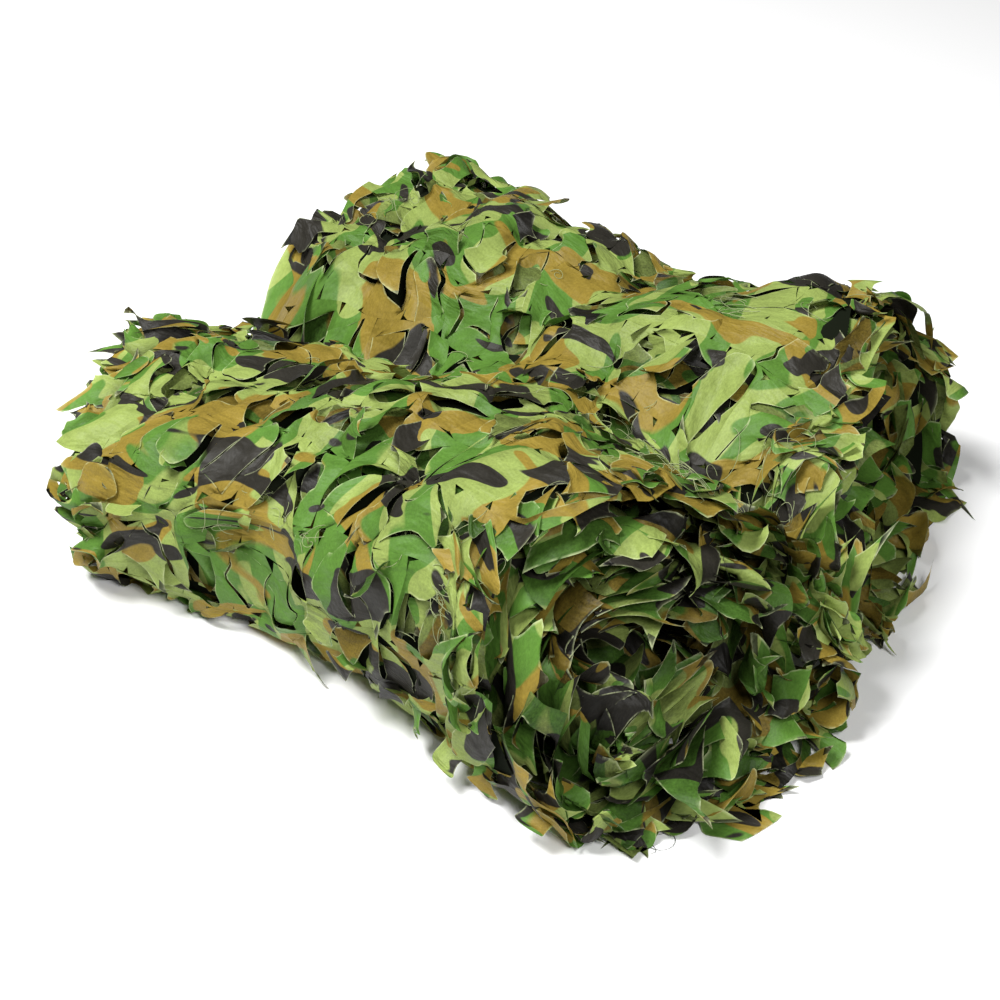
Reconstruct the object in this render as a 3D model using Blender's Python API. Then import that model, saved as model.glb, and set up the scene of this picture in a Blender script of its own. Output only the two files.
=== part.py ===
"""Camouflage net: one die-cut printed cloth, wound in from both edges into a bundle of two rolls.

The cloth is one sheet. Its section is a double scroll: it starts inside the front roll, winds out
over the roll, dips through the valley between the rolls and winds into the back roll.
X runs along the rolls, Y from the front roll to the back roll, Z up, metres.
"""
import math

import bpy

NODE_NAME = "net"
MATERIAL_NAME = "camo_cloth"
MATERIAL_COLOR = (0.20, 0.27, 0.09, 1.0)
MATERIAL_ROUGHNESS = 0.55

CLOTH = 0.003
# Distance between one turn and the next: the front roll opens into a wide mouth at its right end.
PITCH = 0.020
PITCH_MOUTH = 0.013
PITCH_DEEP = 0.023
MOUTH_STARTS = 0.000
MOUTH_LENGTH = 0.190
# The outer turn keeps the full size round to here, then the cloth goes inside by one pitch.
INSET_START = 290.0
INSET_SPAN = 95.0
COLUMNS = 13

# x: place along the rolls; *_y: middle of the roll; *_half: half its width; *_top: its height;
# valley: height of the lowest line between the rolls.
STATION_COLUMNS = ("x", "front_y", "front_half", "front_top", "back_y", "back_half", "back_top", "valley")
STATIONS = (
    (-0.330, -0.076, 0.104, 0.120, 0.168, 0.096, 0.142, 0.030),
    (-0.260, -0.076, 0.108, 0.109, 0.166, 0.100, 0.142, 0.055),
    (-0.170, -0.061, 0.103, 0.119, 0.163, 0.096, 0.143, 0.086),
    (-0.080, -0.050, 0.092, 0.143, 0.162, 0.088, 0.131, 0.108),
    (0.010, -0.050, 0.096, 0.153, 0.170, 0.093, 0.147, 0.118),
    (0.090, -0.055, 0.106, 0.158, 0.184, 0.109, 0.167, 0.108),
    (0.150, -0.059, 0.109, 0.158, 0.188, 0.108, 0.153, 0.074),
    (0.200, -0.060, 0.107, 0.158, 0.188, 0.105, 0.140, 0.040),
    (0.240, -0.060, 0.104, 0.158, 0.186, 0.103, 0.132, 0.020),
)
X_COLUMN = 0
FRONT_COLUMN = 1
BACK_COLUMN = 4
VALLEY_COLUMN = 7

# Roundness of the section: a power of two is an ellipse, a higher one is squarer.
UPPER_POWER = 2.5
LOWER_POWER = 4.0
RISE_SHARE = 0.54

FRONT = -1
BACK = 1

# Left and right end of each roll before its slants, and how far the ends close in.
FRONT_LEFT = -0.294
FRONT_RIGHT = 0.231
BACK_LEFT = -0.322
BACK_RIGHT = 0.218
CLOSING_LENGTH_LEFT = 0.080
CLOSING_LENGTH_RIGHT = 0.060
FRONT_LEFT_CLOSE_Y = 0.27
FRONT_LEFT_CLOSE_Z = 0.06
BACK_LEFT_CLOSE_Y = 0.45
BACK_LEFT_CLOSE_Z = 0.24
BACK_RIGHT_CLOSE_Y = 0.10
BACK_RIGHT_CLOSE_Z = 0.20

# Slants of the ends, in metres of x for each metre across or up.
FRONT_LEFT_SLANT_NEAR = 0.50
FRONT_LEFT_SLANT_FAR = 0.50
NEAR_LINE = -0.050
FAR_LINE = 0.0
MOUTH_SLANT = 0.120
MOUTH_SLANT_RELIEF = 0.020
MOUTH_SLANT_POWER = 1.7
MOUTH_TOP = 0.157
MOUTH_MIDDLE = -0.054
MOUTH_SPAN = 0.10
MOUTH_CORNER_CUT = 0.055
MOUTH_SLANT_FAR = 0.12
MOUTH_CORNER_SPAN = 0.10
BACK_LEFT_SLANT = 0.25
BACK_LEFT_SLANT_UP = 0.020
BACK_LEFT_LINE = 0.12
BACK_RIGHT_SLANT_UP = 0.045
BACK_TOP = 0.14
BACK_RIGHT_SLANT_FAR = 0.36
BACK_RIGHT_LINE = 0.14
INNER_SETBACK = 0.022
INNER_SETBACK_START = 0.60

# Winding angles of the rows, degrees from the valley side over the top of the roll.
# Outer rows carry the cut leaves, inner rows are the turns wound inside.
VALLEY_ANGLE = 42.0
OUTER_ANGLES = (64.0, 86.0, 108.0, 130.0, 152.0, 174.0, 196.0, 218.0)
FLOOR_ANGLES = (244.0, 270.0, 296.0, 324.0)
INNER_STEP = 36.0
FRONT_INNER_START = 360.0
FRONT_INNER_END = 1010.0
BACK_INNER_START = 360.0
BACK_INNER_END = 1240.0
VALLEY_DEPTHS = (0.55, 1.0, 0.55)
VALLEY_DEEP = 0.06
# The lowest line of the valley ends here, lower and further out than the rolls' tops do.
VALLEY_RIGHT = 0.212

# Unevenness: slow swells of the whole bundle, and the ruffle of the leaf rows.
SWELLS = (
    # axis moved, size, waves along x, waves across y, start
    ("y", 0.0045, 21.0, 9.0, 0.4),
    ("y", 0.0030, 38.0, -17.0, 2.1),
    ("z", 0.0500, 19.0, 14.0, 1.3),
    ("z", 0.0350, 34.0, -25.0, 4.0),
    ("x", 0.0050, 12.0, 30.0, 0.9),
)
SWELL_HEIGHT = 0.05
RUFFLE = 0.0030
LEAF_LIFT = 0.0085
LEAF_SINK = 0.0020
VALLEY_LIFT = 0.0030
EDGE_SCALLOP = 0.0060
EDGE_SCALLOP_LEAF = 0.0080
VALLEY_RUFFLE = 0.0006
# Near the floor the ruffle dies out, so that the rolls lie on flat undersides.
CALM_HEIGHT = 0.030

# One leaf cut inside its cell: share along the roll, share around the roll, lift of that corner.
CUT_CORNERS = (
    (0.02, 0.37, -0.3),
    (0.20, 0.06, 0.1),
    (0.15, -0.28, 0.9),
    (-0.10, -0.36, 1.0),
    (-0.19, -0.02, 0.4),
)
CUT_TILT = 24.0
CUT_TILT_SPREAD = 22.0
CUT_SHIFT = 0.05

HASH_A = 12.9898
HASH_B = 78.233
HASH_C = 43758.5453


def chance(first, second, third=0):
    """A repeatable share from 0 to 1 for a pair of whole numbers."""
    value = math.sin(first * HASH_A + second * HASH_B + third) * HASH_C
    return value - math.floor(value)


def ease(share):
    """A share held in 0 to 1 with soft ends."""
    held = min(max(share, 0.0), 1.0)
    return held * held * (3.0 - 2.0 * held)


def slope_at(column, index):
    """Slope of one station column at a station."""
    before = STATIONS[max(index - 1, 0)]
    after = STATIONS[min(index + 1, len(STATIONS) - 1)]
    return (after[column] - before[column]) / (after[X_COLUMN] - before[X_COLUMN])


def station(x, column):
    """One station column read at x along a smooth curve."""
    if x <= STATIONS[0][X_COLUMN]:
        return STATIONS[0][column]
    if x >= STATIONS[-1][X_COLUMN]:
        return STATIONS[-1][column]
    index = 0
    while x > STATIONS[index + 1][X_COLUMN]:
        index += 1
    low = STATIONS[index]
    high = STATIONS[index + 1]
    span = high[X_COLUMN] - low[X_COLUMN]
    t = (x - low[X_COLUMN]) / span
    start_weight = (1.0 + 2.0 * t) * (1.0 - t) ** 2
    end_weight = t * t * (3.0 - 2.0 * t)
    start_pull = t * (1.0 - t) ** 2 * span
    end_pull = t * t * (t - 1.0) * span
    value = start_weight * low[column] + end_weight * high[column]
    return value + start_pull * slope_at(column, index) + end_pull * slope_at(column, index + 1)


def signed_power(value, power):
    """A power that keeps the sign."""
    return math.copysign(abs(value) ** power, value)


def closing(side, x):
    """How far the section is drawn in across and up at x, near the closed ends."""
    if side == FRONT:
        left = 1.0 - math.sqrt(ease((x - FRONT_LEFT) / CLOSING_LENGTH_LEFT))
        return 1.0 - FRONT_LEFT_CLOSE_Y * left, 1.0 - FRONT_LEFT_CLOSE_Z * left
    left = 1.0 - math.sqrt(ease((x - BACK_LEFT) / CLOSING_LENGTH_LEFT))
    right = 1.0 - math.sqrt(ease((BACK_RIGHT - x) / CLOSING_LENGTH_RIGHT))
    across = (1.0 - BACK_LEFT_CLOSE_Y * left) * (1.0 - BACK_RIGHT_CLOSE_Y * right)
    up = (1.0 - BACK_LEFT_CLOSE_Z * left) * (1.0 - BACK_RIGHT_CLOSE_Z * right)
    return across, up


def pitch_at(side, x):
    """Distance between turns at x."""
    if side == BACK:
        return PITCH
    return PITCH_DEEP + (PITCH_MOUTH - PITCH_DEEP) * ease((x - MOUTH_STARTS) / MOUTH_LENGTH)


def roll_size(side, x):
    """Middle, half width and height of a roll at x."""
    first = FRONT_COLUMN if side == FRONT else BACK_COLUMN
    return station(x, first), station(x, first + 1), station(x, first + 2)


def roll_point(side, angle, x):
    """Middle of the cloth on a roll, at a winding angle and x."""
    middle, half, top = roll_size(side, x)
    turns = max(angle, 0.0) / 360.0
    pitch = pitch_at(side, x)
    inset = pitch * ease((angle - INSET_START) / INSET_SPAN)
    inset += pitch * max(angle - INSET_START - INSET_SPAN, 0.0) / 360.0
    cosine = math.cos(math.radians(angle))
    sine = math.sin(math.radians(angle))
    power = 2.0 / (UPPER_POWER if sine >= 0.0 else LOWER_POWER)
    rise = top * RISE_SHARE
    across = (half - inset) * signed_power(cosine, power)
    up = top - rise + (rise - inset) * signed_power(sine, power)
    close_y, close_z = closing(side, x)
    up = max(up, pitch * math.floor(turns))
    return middle - side * across * close_y, up * close_z


def roll_side(side, height, x):
    """Y of the outer turn's valley side at a height."""
    middle, half, top = roll_size(side, x)
    close_y, close_z = closing(side, x)
    rise = top * RISE_SHARE
    share = (height / close_z - (top - rise)) / rise
    power = UPPER_POWER if share >= 0.0 else LOWER_POWER
    reach = max(1.0 - min(abs(share), 1.0) ** power, 0.0) ** (1.0 / power)
    return middle - side * half * reach * close_y


def valley_point(side, depth, x):
    """Middle of the cloth in the valley, from a roll (depth 0) to the lowest line (depth 1)."""
    start_y, start_z = roll_point(side, VALLEY_ANGLE, x)
    floor = min(station(x, VALLEY_COLUMN), start_z - CLOTH)
    height = start_z + (floor - start_z) * depth
    wall = roll_side(side, height, x)
    middle = 0.5 * (roll_side(FRONT, floor, x) + roll_side(BACK, floor, x))
    pull = depth ** (1.0 + (start_z - floor) / VALLEY_DEEP)
    return wall + (middle - wall) * pull, height


def row_ends(side, angle):
    """Left and right end of a row."""
    reference = FRONT_RIGHT - CLOSING_LENGTH_LEFT if side == FRONT else 0.5 * BACK_RIGHT
    y, z = roll_point(side, angle, reference)
    setback = INNER_SETBACK * max(angle / 360.0 - INNER_SETBACK_START, 0.0)
    if side == FRONT:
        left = FRONT_LEFT + setback
        left += FRONT_LEFT_SLANT_NEAR * max(NEAR_LINE - y, 0.0)
        left += FRONT_LEFT_SLANT_FAR * max(y - FAR_LINE, 0.0)
        relief = MOUTH_SLANT_RELIEF * min(max((y - MOUTH_MIDDLE) / MOUTH_SPAN, 0.0), 1.0)
        corner = (max(NEAR_LINE - y, 0.0) / MOUTH_CORNER_SPAN) ** 2
        right = FRONT_RIGHT - (MOUTH_SLANT - relief) * (z / MOUTH_TOP) ** MOUTH_SLANT_POWER
        right += MOUTH_SLANT_FAR * max(y - NEAR_LINE, 0.0) - MOUTH_CORNER_CUT * corner
        return left, right - 0.5 * setback
    left = BACK_LEFT + setback + BACK_LEFT_SLANT * max(y - BACK_LEFT_LINE, 0.0)
    left += BACK_LEFT_SLANT_UP * (z / BACK_TOP) ** 2
    right = BACK_RIGHT - setback - BACK_RIGHT_SLANT_UP * (z / BACK_TOP) ** 2
    return left, right - BACK_RIGHT_SLANT_FAR * max(y - BACK_RIGHT_LINE, 0.0)


def swell(point):
    """The slow unevenness of the bundle; the floor stays flat."""
    x, y, z = point
    moved = {"x": x, "y": y, "z": z}
    lift = min(z / SWELL_HEIGHT, 1.0)
    for axis, size, along, across, start in SWELLS:
        wave = size * math.sin(along * x + across * y + start)
        if axis == "z":
            moved["z"] += wave * z
        else:
            moved[axis] += wave * lift
    return moved["x"], moved["y"], moved["z"]


def inner_angles(first, last):
    """Winding angles of the inner turns from first to last."""
    steps = max(int(round((last - first) / INNER_STEP)), 1)
    return [first + (last - first) * step / steps for step in range(steps + 1)]


def build_rows():
    """Every row of the section in order: kind, side, angle or depth, and whether it carries leaves."""
    rows = []
    for angle in reversed(inner_angles(FRONT_INNER_START, FRONT_INNER_END)):
        rows.append(("roll", FRONT, angle, "inner"))
    for angle in reversed(FLOOR_ANGLES):
        rows.append(("roll", FRONT, angle, "floor"))
    for angle in reversed(OUTER_ANGLES):
        rows.append(("roll", FRONT, angle, "leaf"))
    rows.append(("roll", FRONT, VALLEY_ANGLE, "leaf"))
    rows.append(("valley", FRONT, VALLEY_DEPTHS[0], "valley"))
    rows.append(("valley", FRONT, VALLEY_DEPTHS[1], "valley"))
    rows.append(("valley", BACK, VALLEY_DEPTHS[2], "valley"))
    rows.append(("roll", BACK, VALLEY_ANGLE, "leaf"))
    for angle in OUTER_ANGLES:
        rows.append(("roll", BACK, angle, "leaf"))
    for angle in FLOOR_ANGLES:
        rows.append(("roll", BACK, angle, "floor"))
    for angle in inner_angles(BACK_INNER_START, BACK_INNER_END):
        rows.append(("roll", BACK, angle, "inner"))
    return rows


def row_range(rows, index):
    """Left and right end of a row, with the uneven edge of the cut cloth."""
    kind, side, value, use = rows[index]
    if kind == "valley":
        front = row_ends(FRONT, VALLEY_ANGLE)
        back = row_ends(BACK, VALLEY_ANGLE)
        share = 0.5 * value if side == FRONT else 1.0 - 0.5 * value
        left = front[0] + (back[0] - front[0]) * share
        right = front[1] + (back[1] - front[1]) * share
        right += (VALLEY_RIGHT - right) * value ** 2
    else:
        left, right = row_ends(side, value)
    size = EDGE_SCALLOP_LEAF if use == "leaf" else EDGE_SCALLOP
    scallop = size * (1.0 if index % 2 else -1.0)
    if use == "floor":
        scallop = 0.0
    return left + scallop, right + scallop


def base_point(rows, row, share):
    """Middle of the cloth at a place counted in rows and a share of the row's length."""
    low = int(math.floor(row))
    low = min(max(low, 0), len(rows) - 2)
    part = row - low
    ends = [row_range(rows, low), row_range(rows, low + 1)]
    points = []
    for index in (0, 1):
        kind, side, value, use = rows[low + index]
        x = ends[index][0] + (ends[index][1] - ends[index][0]) * share
        place = roll_point if kind == "roll" else valley_point
        y, z = place(side, value, x)
        points.append((x, y, z))
    mixed = [points[0][axis] + (points[1][axis] - points[0][axis]) * part for axis in range(3)]
    return swell(mixed)


def subtract(a, b):
    return a[0] - b[0], a[1] - b[1], a[2] - b[2]


def cross(a, b):
    return a[1] * b[2] - a[2] * b[1], a[2] * b[0] - a[0] * b[2], a[0] * b[1] - a[1] * b[0]


def unit(a):
    length = math.sqrt(a[0] * a[0] + a[1] * a[1] + a[2] * a[2])
    return a[0] / length, a[1] / length, a[2] / length


def normal_at(rows, row, share):
    """Direction out of the bundle at a place on the cloth."""
    row_step = 0.45
    share_step = 0.02
    last = len(rows) - 1
    around = subtract(
        base_point(rows, min(row + row_step, last), share),
        base_point(rows, max(row - row_step, 0), share))
    along = subtract(
        base_point(rows, row, min(share + share_step, 1.0)),
        base_point(rows, row, max(share - share_step, 0.0)))
    return unit(cross(along, around))


class Sheet:
    """Collects the two faces of the cloth and closes them into one solid."""

    def __init__(self, rows):
        self.rows = rows
        self.places = []
        self.above = []
        self.below = []
        self.faces = []

    def add(self, row, share, lift):
        """Adds one point on both faces and returns its number."""
        point = base_point(self.rows, row, share)
        out = normal_at(self.rows, row, share)
        half = 0.5 * CLOTH
        lift *= min(max(point[2], 0.0) / CALM_HEIGHT, 1.0)
        top = [point[axis] + out[axis] * (lift + half) for axis in range(3)]
        bottom = [point[axis] + out[axis] * (lift - half) for axis in range(3)]
        self.places.append((row, share))
        self.above.append(top)
        self.below.append(bottom)
        return len(self.places) - 1

    def fill(self, low, high):
        """Covers a plain cell between a stretch of one row and a stretch of the next."""
        a = 0
        b = 0
        while a < len(low) - 1 or b < len(high) - 1:
            done_low = a == len(low) - 1
            done_high = b == len(high) - 1
            step_low = done_high
            if not done_low and not done_high:
                step_low = self.places[low[a + 1]][1] <= self.places[high[b + 1]][1]
            if step_low:
                self.faces.append((low[a], low[a + 1], high[b]))
                a += 1
            else:
                self.faces.append((low[a], high[b + 1], high[b]))
                b += 1

    def ring(self, outer, inner, centre):
        """Covers the cloth between a cell and the leaf cut inside it."""
        def bearing(number):
            row, share = self.places[number]
            return math.atan2(row - centre[0], (share - centre[1]) * COLUMNS)
        outer_turn = sorted(outer, key=bearing)
        inner_turn = sorted(inner, key=bearing)
        a = 0
        b = 0
        while a < len(outer_turn) or b < len(inner_turn):
            outer_now = outer_turn[a % len(outer_turn)]
            inner_now = inner_turn[b % len(inner_turn)]
            outer_next = outer_turn[(a + 1) % len(outer_turn)]
            inner_next = inner_turn[(b + 1) % len(inner_turn)]
            outer_bearing = bearing(outer_next) + (2.0 * math.pi if a + 1 >= len(outer_turn) else 0.0)
            inner_bearing = bearing(inner_next) + (2.0 * math.pi if b + 1 >= len(inner_turn) else 0.0)
            step_outer = b >= len(inner_turn) or (a < len(outer_turn) and outer_bearing <= inner_bearing)
            if step_outer:
                self.faces.append((outer_now, outer_next, inner_now))
                a += 1
            else:
                self.faces.append((outer_now, inner_next, inner_now))
                b += 1

    def solid(self):
        """Vertices and faces of the closed cloth."""
        count = len(self.places)
        vertices = self.above + self.below
        faces = list(self.faces)
        faces += [(c + count, b + count, a + count) for a, b, c in self.faces]
        used = {}
        for a, b, c in self.faces:
            for pair in ((a, b), (b, c), (c, a)):
                used[pair] = True
        for first, second in list(used):
            if (second, first) not in used:
                faces.append((second, first, first + count))
                faces.append((second, first + count, second + count))
        return vertices, faces


def point_lift(rows, row, column):
    """Ruffle of a row point."""
    use = rows[row][3]
    if use == "leaf":
        return RUFFLE * (2.0 * chance(row, column) - 1.0)
    if use == "valley":
        return VALLEY_RUFFLE * (2.0 * chance(row, column) - 1.0)
    return 0.0


def build_sheet():
    """The whole cloth as one closed set of faces."""
    rows = build_rows()
    sheet = Sheet(rows)
    halves = 2 * COLUMNS
    grid = []
    for row, (kind, side, value, use) in enumerate(rows):
        dense = use in ("leaf", "valley")
        line = {}
        for column in range(0, halves + 1, 1 if dense else 2):
            line[column] = sheet.add(row, column / halves, point_lift(rows, row, column))
        grid.append(line)
    for row in range(len(rows) - 1):
        uses = (rows[row][3], rows[row + 1][3])
        cut_band = "leaf" in uses and all(use in ("leaf", "valley") for use in uses)
        dense = all(use in ("leaf", "valley") for use in uses)
        offset = row % 2 if dense else 0
        edges = list(range(offset, halves + 1, 2))
        if offset:
            edges = [0] + edges + [halves]
        for start, end in zip(edges[:-1], edges[1:]):
            low = [grid[row][c] for c in range(start, end + 1) if c in grid[row]]
            high = [grid[row + 1][c] for c in range(start, end + 1) if c in grid[row + 1]]
            if cut_band and end - start == 2:
                cut_leaf(sheet, rows, row, start, end, low + high)
            else:
                sheet.fill(low, high)
    return sheet.solid()


def cut_leaf(sheet, rows, row, start, end, loop):
    """One leaf cut: a slanting gap with its upper lip lifted off the roll."""
    halves = 2 * COLUMNS
    turn = -1.0 if (row + start // 2) % 2 else 1.0
    tilt = math.radians(turn * CUT_TILT + CUT_TILT_SPREAD * (chance(row, start, 1) - 0.5))
    flip = -1.0 if rows[row][1] == FRONT else 1.0
    centre_row = row + 0.5 + CUT_SHIFT * (2.0 * chance(row, start, 2) - 1.0)
    centre_share = (0.5 * (start + end) / halves)
    raised = VALLEY_LIFT if "valley" in (rows[row][3], rows[row + 1][3]) else LEAF_LIFT
    corners = []
    for along, around, lift in CUT_CORNERS:
        x = along * math.cos(tilt) - around * math.sin(tilt)
        y = (along * math.sin(tilt) + around * math.cos(tilt)) * flip
        height = raised * lift if lift > 0.0 else LEAF_SINK * lift
        corners.append(sheet.add(centre_row + y, centre_share + x / COLUMNS, height))
    sheet.ring(loop, corners, (centre_row, centre_share))


def make_material():
    """Plain cloth colour."""
    material = bpy.data.materials.new(MATERIAL_NAME)
    material.use_nodes = True
    shader = material.node_tree.nodes["Principled BSDF"]
    shader.inputs["Base Color"].default_value = MATERIAL_COLOR
    shader.inputs["Roughness"].default_value = MATERIAL_ROUGHNESS
    return material


def main():
    for item in list(bpy.data.objects):
        bpy.data.objects.remove(item, do_unlink=True)
    vertices, faces = build_sheet()
    floor = min(vertex[2] for vertex in vertices)
    middle = [0.5 * (min(v[axis] for v in vertices) + max(v[axis] for v in vertices)) for axis in (0, 1)]
    placed = [(x - middle[0], y - middle[1], z - floor) for x, y, z in vertices]
    mesh = bpy.data.meshes.new(NODE_NAME)
    mesh.from_pydata(placed, [], faces)
    mesh.materials.append(make_material())
    node = bpy.data.objects.new(NODE_NAME, mesh)
    bpy.context.scene.collection.objects.link(node)


main()
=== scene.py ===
"""Looks of the camouflage net: die-cut printed cloth wound into a bundle of two rolls.

The wound cloth is worked out first as a smooth double scroll, the same as the plain solid's.
Leaf-cut cells and single leaf tongues are then laid out flat and bent onto it, in several layers.
Metres, X along the rolls, Y from the front roll to the back roll, Z up.
"""

import math
from types import SimpleNamespace

import bpy
import numpy as np
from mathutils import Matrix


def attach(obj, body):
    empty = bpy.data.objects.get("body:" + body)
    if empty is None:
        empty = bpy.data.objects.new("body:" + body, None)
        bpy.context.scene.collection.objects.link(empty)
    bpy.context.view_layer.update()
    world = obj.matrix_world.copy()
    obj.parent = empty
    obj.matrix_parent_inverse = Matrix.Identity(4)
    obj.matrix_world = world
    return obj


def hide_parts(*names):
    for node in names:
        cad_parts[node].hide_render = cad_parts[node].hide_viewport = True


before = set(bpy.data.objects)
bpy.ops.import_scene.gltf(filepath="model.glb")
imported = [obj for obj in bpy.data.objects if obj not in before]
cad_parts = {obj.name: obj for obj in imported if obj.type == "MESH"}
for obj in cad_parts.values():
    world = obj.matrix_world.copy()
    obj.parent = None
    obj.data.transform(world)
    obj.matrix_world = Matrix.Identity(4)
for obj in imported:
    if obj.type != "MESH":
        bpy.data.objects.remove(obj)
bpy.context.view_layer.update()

NODE = "net"
BODY = "root"

# ---------- the wound cloth
# Middle and floor of the bundle as it is wound, before it is moved to the origin.
ORIGIN = np.array([-0.04056, 0.06185, -0.0015])
PITCH = 0.020
PITCH_MOUTH = 0.013
PITCH_DEEP = 0.023
MOUTH_LENGTH = 0.190
INSET_START = 290.0
INSET_SPAN = 95.0
# x, front roll's middle, half width and height, back roll's middle, half width and height, valley height
STATIONS = np.array((
    (-0.330, -0.076, 0.104, 0.120, 0.168, 0.096, 0.142, 0.030),
    (-0.260, -0.076, 0.108, 0.109, 0.166, 0.100, 0.142, 0.055),
    (-0.170, -0.061, 0.103, 0.119, 0.163, 0.096, 0.143, 0.086),
    (-0.080, -0.050, 0.092, 0.143, 0.162, 0.088, 0.131, 0.108),
    (0.010, -0.050, 0.096, 0.153, 0.170, 0.093, 0.147, 0.118),
    (0.090, -0.055, 0.106, 0.158, 0.184, 0.109, 0.167, 0.108),
    (0.150, -0.059, 0.109, 0.158, 0.188, 0.108, 0.153, 0.074),
    (0.200, -0.060, 0.107, 0.158, 0.188, 0.105, 0.140, 0.040),
    (0.240, -0.060, 0.104, 0.158, 0.186, 0.103, 0.132, 0.020),
))
X_COLUMN, FRONT_COLUMN, BACK_COLUMN, VALLEY_COLUMN = 0, 1, 4, 7
UPPER_POWER, LOWER_POWER, RISE_SHARE = 2.5, 4.0, 0.54
FRONT, BACK = -1, 1
LEFT, RIGHT = 0, 1
FRONT_LEFT, FRONT_RIGHT, BACK_LEFT, BACK_RIGHT = -0.294, 0.231, -0.322, 0.218
CLOSING_LENGTH_LEFT, CLOSING_LENGTH_RIGHT = 0.080, 0.060
FRONT_LEFT_CLOSE_Y, FRONT_LEFT_CLOSE_Z = 0.27, 0.06
BACK_LEFT_CLOSE_Y, BACK_LEFT_CLOSE_Z = 0.45, 0.24
BACK_RIGHT_CLOSE_Y, BACK_RIGHT_CLOSE_Z = 0.10, 0.20
FRONT_LEFT_SLANT, NEAR_LINE, FAR_LINE = 0.50, -0.050, 0.0
MOUTH_SLANT, MOUTH_SLANT_RELIEF, MOUTH_SLANT_POWER, MOUTH_TOP = 0.120, 0.020, 1.7, 0.157
MOUTH_MIDDLE, MOUTH_SPAN, MOUTH_SLANT_FAR = -0.054, 0.10, 0.12
MOUTH_CORNER_CUT, MOUTH_CORNER_SPAN = 0.055, 0.10
BACK_LEFT_SLANT, BACK_LEFT_SLANT_UP, BACK_LEFT_LINE, BACK_TOP = 0.25, 0.020, 0.12, 0.14
BACK_RIGHT_SLANT_UP, BACK_RIGHT_SLANT_FAR, BACK_RIGHT_LINE = 0.045, 0.36, 0.14
INNER_SETBACK, INNER_SETBACK_START = 0.022, 0.60
VALLEY_RIGHT = 0.212
VALLEY_ANGLE, VALLEY_DEEP, VALLEY_LEAST = 42.0, 0.06, 0.003
FRONT_INNER_END, BACK_INNER_END = 1010.0, 1240.0
TOP_ANGLE, FLOOR_ANGLE, HOLLOW_ANGLE = 90.0, 238.0, 650.0
# Axis that moves, size, waves along x and across y, and start; height is moved by a share of itself.
SWELLS = (
    (1, 0.0045, 21.0, 9.0, 0.4),
    (1, 0.0030, 38.0, -17.0, 2.1),
    (2, 0.0500, 19.0, 14.0, 1.3),
    (2, 0.0350, 34.0, -25.0, 4.0),
    (0, 0.0050, 12.0, 30.0, 0.9),
)
SWELL_HEIGHT = 0.05


def add_object(name, data):
    """Puts a new object in the scene."""
    made = bpy.data.objects.new(name, data)
    bpy.context.scene.collection.objects.link(made)
    return made


def ease(share):
    """0 to 1 without a jump in slope."""
    held = np.clip(share, 0.0, 1.0)
    return held * held * (3.0 - 2.0 * held)


def smooth_curve(places, values, slopes, at):
    """Reads a curve through values at places, with the given slopes."""
    low = np.clip(np.searchsorted(places, at, side="right") - 1, 0, len(places) - 2)
    span = places[low + 1] - places[low]
    t = (at - places[low]) / span
    value = (1.0 + 2.0 * t) * (1.0 - t) ** 2 * values[low] + t * t * (3.0 - 2.0 * t) * values[low + 1]
    return value + t * (1.0 - t) ** 2 * span * slopes[low] + t * t * (t - 1.0) * span * slopes[low + 1]


def station(x, column):
    """One station column read along a smooth curve."""
    places = STATIONS[:, X_COLUMN]
    values = STATIONS[:, column]
    slopes = np.empty(len(places))
    slopes[1:-1] = (values[2:] - values[:-2]) / (places[2:] - places[:-2])
    slopes[0] = (values[1] - values[0]) / (places[1] - places[0])
    slopes[-1] = (values[-1] - values[-2]) / (places[-1] - places[-2])
    return smooth_curve(places, values, slopes, np.clip(x, places[0], places[-1]))


def closing(side, x):
    """How far the section is drawn in across and up near the closed ends."""
    if side == FRONT:
        left = 1.0 - np.sqrt(ease((x - FRONT_LEFT) / CLOSING_LENGTH_LEFT))
        return 1.0 - FRONT_LEFT_CLOSE_Y * left, 1.0 - FRONT_LEFT_CLOSE_Z * left
    left = 1.0 - np.sqrt(ease((x - BACK_LEFT) / CLOSING_LENGTH_LEFT))
    right = 1.0 - np.sqrt(ease((BACK_RIGHT - x) / CLOSING_LENGTH_RIGHT))
    across = (1.0 - BACK_LEFT_CLOSE_Y * left) * (1.0 - BACK_RIGHT_CLOSE_Y * right)
    return across, (1.0 - BACK_LEFT_CLOSE_Z * left) * (1.0 - BACK_RIGHT_CLOSE_Z * right)


def pitch_at(side, x):
    """Distance from one turn to the next; the front roll is wound tighter towards its mouth."""
    if side == BACK:
        return np.full_like(x, PITCH)
    return PITCH_DEEP + (PITCH_MOUTH - PITCH_DEEP) * ease(x / MOUTH_LENGTH)


def roll_size(side, x):
    """Middle, half width and height of a roll."""
    first = FRONT_COLUMN if side == FRONT else BACK_COLUMN
    return station(x, first), station(x, first + 1), station(x, first + 2)


def roll_point(side, angle, x):
    """Y and Z of the cloth on a roll, at a winding angle and an array of x."""
    middle, half, top = roll_size(side, x)
    pitch = pitch_at(side, x)
    inset = pitch * ease((angle - INSET_START) / INSET_SPAN)
    inset = inset + pitch * max(angle - INSET_START - INSET_SPAN, 0.0) / 360.0
    cosine, sine = math.cos(math.radians(angle)), math.sin(math.radians(angle))
    power = 2.0 / (UPPER_POWER if sine >= 0.0 else LOWER_POWER)
    rise = top * RISE_SHARE
    across = (half - inset) * math.copysign(abs(cosine) ** power, cosine)
    up = top - rise + (rise - inset) * math.copysign(abs(sine) ** power, sine)
    close_y, close_z = closing(side, x)
    up = np.maximum(up, pitch * math.floor(max(angle, 0.0) / 360.0))
    return middle - side * across * close_y, up * close_z


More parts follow.
